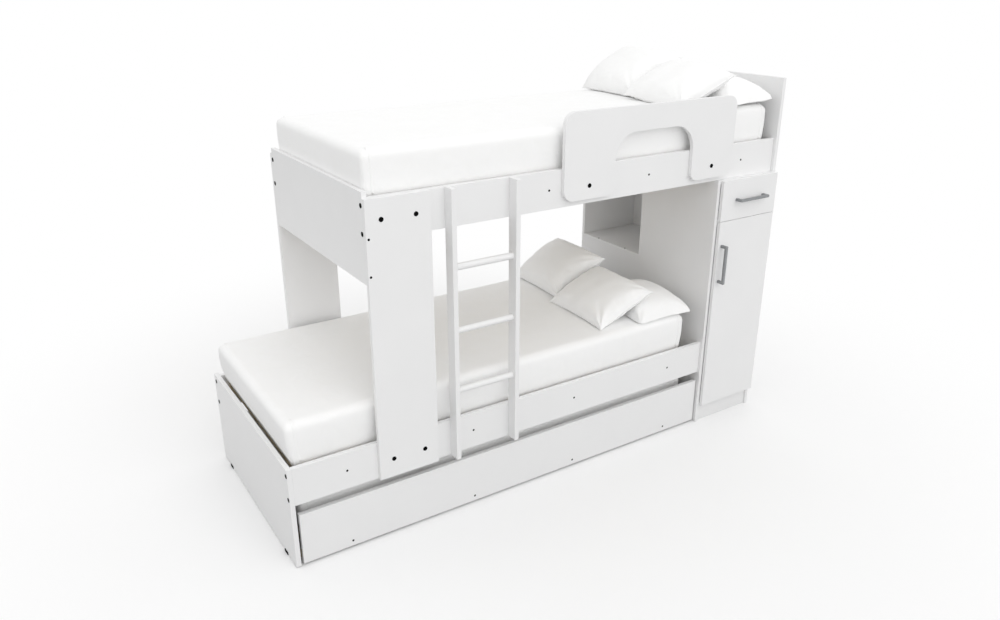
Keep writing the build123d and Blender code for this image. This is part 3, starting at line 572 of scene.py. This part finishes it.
def mattress_cover(name, node, body, seed, foot_in, side_in):
    """A mattress in a fitted cover: the level outlines of a round-cornered block follow a
    quarter circle from the flat top to upright sides, bulged in the middle; the foot end and
    the long sides draw in below by the cube of the share below the top. On the grid, a
    point beyond the flat keeps its ring's distance, and each ring's corner is rounded by a
    circle that grows as the ring goes down. Near each end of both long sides a flat seam
    follows the edge and the side down."""
    low, high = (np.array(corner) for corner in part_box(node))
    middle = (low + high) / 2
    half = (high - low) / 2
    height = high[2] - low[2]
    turns = np.radians(np.linspace(0, 90, EDGE_RINGS + 1))[1:]
    upright = np.linspace(0, 1, SIDE_RINGS + 1)[1:]
    reach = EDGE_RADIUS * np.concatenate([[0], np.sin(turns), np.ones(SIDE_RINGS)])
    fall_round = EDGE_RADIUS * (1 - np.cos(turns))
    fall_upright = EDGE_RADIUS + (height / 2 - EDGE_RADIUS) * upright
    fall = np.concatenate([[0], fall_round, fall_upright])
    flat = half[:2] - EDGE_RADIUS
    x_place, x_ring, x_side = grid_axis(flat[0], EDGE_RINGS + SIDE_RINGS)
    y_place, y_ring, y_side = grid_axis(flat[1], EDGE_RINGS + SIDE_RINGS)
    ring = np.maximum(x_ring[:, None], y_ring[None, :])
    share_x = np.where(ring > 0, x_ring[:, None] / np.maximum(ring, 1), 0)
    share_y = np.where(ring > 0, y_ring[None, :] / np.maximum(ring, 1), 0)
    out = reach[ring]
    x = x_place[:, None] + x_side[:, None] * out * share_x
    y = y_place[None, :] + y_side[None, :] * out * share_y
    radius = np.minimum(CORNER_RADIUS, 1.8 * out)
    core_x = np.clip(x, -(flat[0] + out - radius), flat[0] + out - radius)
    core_y = np.clip(y, -(flat[1] + out - radius), flat[1] + out - radius)
    away = np.hypot(x - core_x, y - core_y)
    pull = np.where(away > 0, radius / np.maximum(away, TINY), 1)
    pull = np.where((ring > 0) & (x != core_x) & (y != core_y), pull, 1)
    x = core_x + (x - core_x) * pull
    y = core_y + (y - core_y) * pull
    depth = fall[ring]
    rounding = (1 - (x / half[0]) ** 4) * (1 - (y / half[1]) ** 4)
    on_side = smooth_step(ring / EDGE_RINGS)

    def shell_half(bottom):
        """The upper or lower half of the shell: its rings fall or rise to half the height."""
        z = depth if bottom else height - depth
        below_top = (1 - z / height) ** 3
        drawn = SIDE_UNEVENNESS * sway(x + y, z, seed + 1, 0.12, 0.4) * on_side
        drawn = drawn - BULGE * np.sin(math.pi * z / height)
        px = x - np.sign(x) * drawn * smooth_step((np.abs(x) - flat[0]) / EDGE_RADIUS)
        px = px + foot_in * below_top * smooth_step((-x - flat[0]) / EDGE_RADIUS)
        in_y = drawn + side_in * below_top
        py = y - np.sign(y) * in_y * smooth_step((np.abs(y) - flat[1]) / EDGE_RADIUS)
        if not bottom:
            z = z + CROWN * (rounding - 1) * (1 - on_side * 0.5)
            z = z + TOP_UNEVENNESS * sway(x, y, seed, 0.25, 0.6) * (1 - on_side)
        return np.stack([px + middle[0], py + middle[1], z + low[2]], axis=-1)

    shell, shell_faces, source = envelope(shell_half(False), shell_half(True))
    run = np.stack([x + np.sign(x) * depth * share_x, y + np.sign(y) * depth * share_y], axis=-1)
    points, faces, uv = [shell], [list(face) for face in shell_faces], [run.reshape(-1, 2)[source]]
    count = len(shell)

    # A third of each seam goes round the edge, and the rest down the side
    profile = np.linspace(0, 1, SEAM_POINTS)
    arc = np.clip(profile * 3, 0, 1) * math.pi / 2
    drop = np.clip((profile - 1 / 3) * 1.5, 0, 1) * (height - EDGE_RADIUS * 2.2)
    z = height - EDGE_RADIUS * (1 - np.cos(arc)) - drop - SEAM_SINK * np.cos(arc)
    below_top = (1 - z / height) ** 3
    drawn = side_in * below_top - BULGE * np.sin(math.pi * z / height)
    from_middle = flat[1] + (EDGE_RADIUS - drawn) * np.sin(arc)
    for end in (-1, 1):
        for side in (-1, 1):
            from_end = (end < 0) * foot_in * below_top
            x_along = middle[0] + end * (half[0] - SEAM_FROM_END) + from_end
            path = np.stack([x_along, middle[1] + side * from_middle, low[2] + z], axis=-1)
            outward = np.stack([np.zeros_like(arc), side * np.sin(arc), np.cos(arc)], axis=-1)
            seam, quads, caps = felled_seam(path, outward)
            points.append(seam)
            faces += [list(face + count)[::side] for face in [*quads, *caps]]
            uv.append(seam[:, [0, 2]])
            count += len(seam)
    made = piece_of_cloth(name, np.concatenate(points), faces, np.concatenate(uv))
    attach(made, body)
    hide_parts(node)


# Cushions. The lip begins at a share of the half width, the creases' angles are radians
# beside the corner's diagonal, and they widen by a share of the distance from it.

LENGTH, WIDTH = 301 * MM, 385 * MM
GRID_LINES = 69
LIP_START = 0.985
LEAST_HEIGHT = 0.7 * MM
CREASE_ANGLES = (-0.45, 0.0, 0.45)
CREASE_ANGLE_SPREAD = 0.14
CREASE_REACH = (0.022, 0.036)
CREASE_WIDTH = 2.5 * MM
CREASE_WIDENING = 0.09
PUCKER = 1.5 * MM
PUCKER_FADE = 0.016
SEAM_WAVE = 2.2 * MM
SEAM_WAVE_FADE = 0.02
PANEL_UNEVENNESS = 1.8 * MM
FILLING_STEPS = 20
FILLING_CAP = 5 * MM
PRESSED_CLEARANCE = 0.9 * MM


def inflate(piece):
    """Fills a cushion's cover by cloth simulation: pressure and a little spare cloth swell and
    crease it, and no point may move by more than the cap."""
    cloth = piece.modifiers.new("fill", "CLOTH")
    cloth.settings.quality = 6
    cloth.settings.mass = 0.15
    cloth.settings.tension_stiffness = 12
    cloth.settings.compression_stiffness = 6
    cloth.settings.shear_stiffness = 4
    cloth.settings.bending_stiffness = 0.15
    cloth.settings.use_pressure = True
    cloth.settings.uniform_pressure_force = 4
    cloth.settings.shrink_min = -0.035
    cloth.settings.effector_weights.gravity = 0
    cloth.collision_settings.use_collision = False
    cloth.collision_settings.use_self_collision = False
    for step in range(1, FILLING_STEPS + 1):
        bpy.context.scene.frame_set(step)
    filled = piece.evaluated_get(bpy.context.evaluated_depsgraph_get()).data
    start = positions(piece.data)
    move = positions(filled) - start
    far = np.linalg.norm(move, axis=1, keepdims=True)
    move *= np.minimum(1, FILLING_CAP / np.maximum(far, TINY))
    piece.modifiers.remove(cloth)
    bpy.context.scene.frame_set(1)
    set_positions(piece.data, start + move)


def crease_and_press(piece, creases, level):
    """Moves each point by its crease, then brings every point below the level up to it."""
    points = positions(piece.data) + creases
    points[:, 2] = np.maximum(points[:, 2], level)
    set_positions(piece.data, points)


def rotation(degrees, first, second):
    """The matrix that turns the first axis towards the second."""
    angle = math.radians(degrees)
    made = np.eye(3)
    made[first, first] = made[second, second] = math.cos(angle)
    made[second, first] = math.sin(angle)
    made[first, second] = -math.sin(angle)
    return made


def corner_folds(x, y, corner, seed):
    """The creases that fan out from a cushion's corners, three from each: each is
    (r / R) e^(1 - r / R) e^(-b^2) deep, with r the distance from the corner, R its drawn
    reach, and b the distance beside its line as a share of its width there."""
    to_corner_x = LENGTH / 2 - np.abs(x)
    to_corner_y = WIDTH / 2 - np.abs(y)
    away = np.hypot(to_corner_x, to_corner_y)
    fan = np.arctan2(to_corner_y, to_corner_x) - math.pi / 4
    fold = np.zeros_like(x)
    draw = np.random.default_rng(seed)
    for middle_angle in CREASE_ANGLES:
        angle = middle_angle + draw.uniform(-CREASE_ANGLE_SPREAD, CREASE_ANGLE_SPREAD, 4)[corner]
        far = draw.uniform(*CREASE_REACH, 4)[corner]
        beside = away * np.sin(fan - angle) / (CREASE_WIDTH + CREASE_WIDENING * away)
        fold += (away / far) * np.exp(1 - away / far) * np.exp(-(beside**2))
    return fold


def cushion_cover(name, node, bed_node, form, place, seed):
    """A square cushion between two sewn panels. Over a panel's shares u and v from -1 to 1,
    its height is the crown times a b / (h + (1 - h)(a + b - a b)), to the power of its
    softness, with a = 1 - |u|^p, b = 1 - |v|^p, p its squareness and h its hollowness: 1 leaves
    the corners thin, 0 fills them. Its sides pull in by |u|^3 (1 - v^2) between the corners,
    the tips reach out or in by (u v)^18, or by ^9 where they are rounder, a narrow lip runs
    round the seam, and three creases fan out from each corner. It is leaned, rolled and
    turned, and what would sink into the mattress is pressed flat."""
    crown, belly, draw_in, squareness, softness, hollow, crease, round_tip = form
    from_head, from_middle, rise, lean, turn, roll = place
    share = np.sin(np.linspace(-1, 1, GRID_LINES) * math.pi / 2)
    u, v = np.meshgrid(share, share, indexing="ij")
    tip = round_tip * MM * np.abs(u * v) ** (18 if round_tip < 10 else 9)
    x = LENGTH / 2 * u - np.sign(u) * (draw_in * MM * np.abs(u) ** 3 * (1 - v**2) + tip)
    y = WIDTH / 2 * v - np.sign(v) * (draw_in * MM * np.abs(v) ** 3 * (1 - u**2) + tip)
    inside_u = np.clip(np.abs(u) / LIP_START, 0, 1)
    inside_v = np.clip(np.abs(v) / LIP_START, 0, 1)
    along, across = 1 - inside_u**squareness, 1 - inside_v**squareness
    both = along * across
    full = (both / (hollow + (1 - hollow) * (along + across - both))) ** softness
    fold = corner_folds(x, y, 2 * (u > 0) + (v > 0), seed + 3)
    seam_gap = np.minimum(LENGTH / 2 * (1 - np.abs(u)), WIDTH / 2 * (1 - np.abs(v)))
    pucker = np.exp(-seam_gap / PUCKER_FADE) * sway(x, y, seed + 2, 0.022, 0.045)
    seam_wave = SEAM_WAVE * np.exp(-seam_gap / SEAM_WAVE_FADE) * sway(x, y, seed + 5, 0.05, 0.12)

    def panel(height, sign, number):
        """A panel above or below the seam: its height, unevenness and puckers."""
        uneven = PANEL_UNEVENNESS * sway(x, y, seed + number, 0.07, 0.16)
        z = height * MM * full + np.sqrt(full) * (uneven + PUCKER * pucker)
        return np.stack([x, y, seam_wave + sign * np.maximum(z, LEAST_HEIGHT)], axis=-1)

    top = panel(crown, 1, 0)
    below = panel(belly, -1, 1)
    rim = np.zeros_like(u, dtype=bool)
    rim[0], rim[-1], rim[:, 0], rim[:, -1] = True, True, True, True
    top[rim, 2] = seam_wave[rim]
    below[rim] = top[rim]
    points, faces, source = envelope(top, below)
    uv = np.stack([x, y], axis=-1).reshape(-1, 2)[source]
    depth = (crease * MM * fold * np.minimum(1, full * 3)).ravel()[source]
    creases = np.zeros_like(points)
    creases[:, 2] = np.where(np.arange(len(points)) < u.size, -depth, depth)
    low, high = (np.array(corner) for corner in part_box(bed_node))
    middle_line = (low[1] + high[1]) / 2
    spot = np.array([high[0] - from_head * MM, middle_line + from_middle * MM, high[2] + rise * MM])
    pose = (rotation(turn, 0, 1) @ rotation(roll, 1, 2) @ rotation(lean, 0, 2)).T
    made = piece_of_cloth(name, points @ pose + spot, faces, uv)
    inflate(made)
    crease_and_press(made, creases @ pose, high[2] + PRESSED_CLEARANCE)
    round_off = made.modifiers.new("round", "SUBSURF")
    round_off.levels = round_off.render_levels = 1
    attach(made, "frame")
    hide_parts(node)


# Each cushion's crown, belly and draw-in in mm, its squareness, softness and hollowness,
# then its creases' depth and its tips' draw-in in mm
CUSHION_FORMS = {
    "back": (78.9, 49.1, 5.3, 2.66, 0.38, 1.0, 9.0, -6),
    "middle": (65.5, 42.2, 6.2, 2.35, 0.37, 1.0, 9.0, -6),
    "front": (87.2, 10.5, 10.9, 2.5, 0.7, 0.5, 5.0, 14),
}

# Its middle in mm from the mattress's head end, from its middle line and above its top,
# then its lean, turn and roll in degrees
CUSHION_PLACES = {
    "lower": {
        "back": (240.4, 201.5, 77.4, 30.0, -5.1, -2.1),
        "middle": (293.0, -172.5, 60.7, 24.1, -2.4, 0.2),
        "front": (98.1, -224.3, 4.6, 1.8, -4.4, 0.3),
    },
    "upper": {
        "back": (257.5, 185.9, 81.8, 31.3, -3.2, 0.3),
        "middle": (317.0, -186.5, 69.2, 24.5, -3.9, 3.0),
        "front": (121.7, -235.1, 10.4, 2.9, -2.0, 0.5),
    },
}

mattress_cover("lower_mattress_cover", "lower_mattress", "frame", 11, 30 * MM, 18 * MM)
mattress_cover("upper_mattress_cover", "upper_mattress", "frame", 23, 8 * MM, 10 * MM)
mattress_cover("trundle_mattress_cover", "trundle_mattress", "trundle", 37, 8 * MM, 8 * MM)
for bed, seed in (("lower", 51), ("upper", 67)):
    for place, added in (("front", 0), ("middle", 4), ("back", 8)):
        cushion = bed + "_" + place + "_cushion"
        cushion_cover(
            cushion + "_cover",
            cushion,
            bed + "_mattress",
            CUSHION_FORMS[place],
            CUSHION_PLACES[bed][place],
            seed + added,
        )


# Floor, backdrop and light

FLOOR_HALF = 9.0
FLOOR_LEVEL = -0.0002
FADE_START, FADE_END = 1.6, 3.0
FILL_STRENGTH = 0.93
LAMP_WIDTH = 60


def studio_floor():
    """A matt pale floor that takes the shadow and runs out into plain white."""
    made, tree = new_material("pale_floor")
    where = add(tree, "ShaderNodeTexCoord").outputs["Object"]
    parts = add(tree, "ShaderNodeSeparateXYZ", sockets={"Vector": where})
    level = add(
        tree,
        "ShaderNodeCombineXYZ",
        sockets={"X": parts.outputs["X"], "Y": parts.outputs["Y"]},
    )
    away = add(tree, "ShaderNodeVectorMath", {"operation": "LENGTH"}, {0: level.outputs[0]})
    fade = add(
        tree,
        "ShaderNodeMapRange",
        {"interpolation_type": "SMOOTHSTEP"},
        {
            "Value": away.outputs["Value"],
            "From Min": FADE_START,
            "From Max": FADE_END,
            "To Min": 0.0,
            "To Max": 1.0,
        },
    )
    seen = seen_directly(tree)
    grey = add(
        tree,
        "ShaderNodeMix",
        {"data_type": "RGBA"},
        {FACTOR: seen, DARK: linear("#B4B4B4"), LIGHT: linear("#FAFAFA")},
    )
    matt = add(tree, "ShaderNodeBsdfDiffuse", sockets={"Color": grey.outputs[RESULT]})
    white = add(tree, "ShaderNodeEmission", sockets={"Strength": 1.0})
    far = add(
        tree,
        "ShaderNodeMath",
        {"operation": "MULTIPLY"},
        {0: fade.outputs["Result"], 1: seen},
    )
    mixed = add(
        tree,
        "ShaderNodeMixShader",
        sockets={0: far.outputs[0], 1: matt.outputs[0], 2: white.outputs[0]},
    )
    add(tree, "ShaderNodeOutputMaterial", sockets={"Surface": mixed.outputs[0]})
    return made


reach = np.linspace(-FLOOR_HALF, FLOOR_HALF, 3)
floor_x, floor_y = np.meshgrid(reach, reach, indexing="ij")
floor_points = np.stack([floor_x, floor_y, np.full_like(floor_x, FLOOR_LEVEL)], axis=-1)
floor_faces = grid_quads(np.arange(9).reshape(3, 3))
floor_mesh = bpy.data.meshes.new("studio_floor")
floor_mesh.from_pydata(floor_points.reshape(-1, 3).tolist(), [], floor_faces.tolist())
floor_mesh.materials.append(studio_floor())
floor = bpy.data.objects.new("studio_floor", floor_mesh)
bpy.context.scene.collection.objects.link(floor)

world = bpy.data.worlds.new("studio")
bpy.context.scene.world = world
world.use_nodes = True
tree = world.node_tree
tree.nodes.clear()
white = linear("#FFFFFF")
fill_light = add(tree, "ShaderNodeBackground", sockets={"Color": white, "Strength": FILL_STRENGTH})
backdrop = add(tree, "ShaderNodeBackground", sockets={"Color": white, "Strength": 1.0})
mixed = add(
    tree,
    "ShaderNodeMixShader",
    sockets={0: seen_directly(tree), 1: fill_light.outputs[0], 2: backdrop.outputs[0]},
)
add(tree, "ShaderNodeOutputWorld", sockets={"Surface": mixed.outputs[0]})


def distant_lamp(name, energy, degrees_high):
    """A broad far lamp in front of the bed, at the angle above the horizon."""
    lamp_data = bpy.data.lights.new(name, "SUN")
    lamp_data.energy = energy
    lamp_data.angle = math.radians(LAMP_WIDTH)
    lamp = bpy.data.objects.new(name, lamp_data)
    lamp.rotation_euler = (math.radians(90 - degrees_high), 0, 0)
    bpy.context.scene.collection.objects.link(lamp)


distant_lamp("key", 0.42, 38)
distant_lamp("low_front", 0.36, 12)

bpy.context.scene.view_settings.view_transform = "Standard"
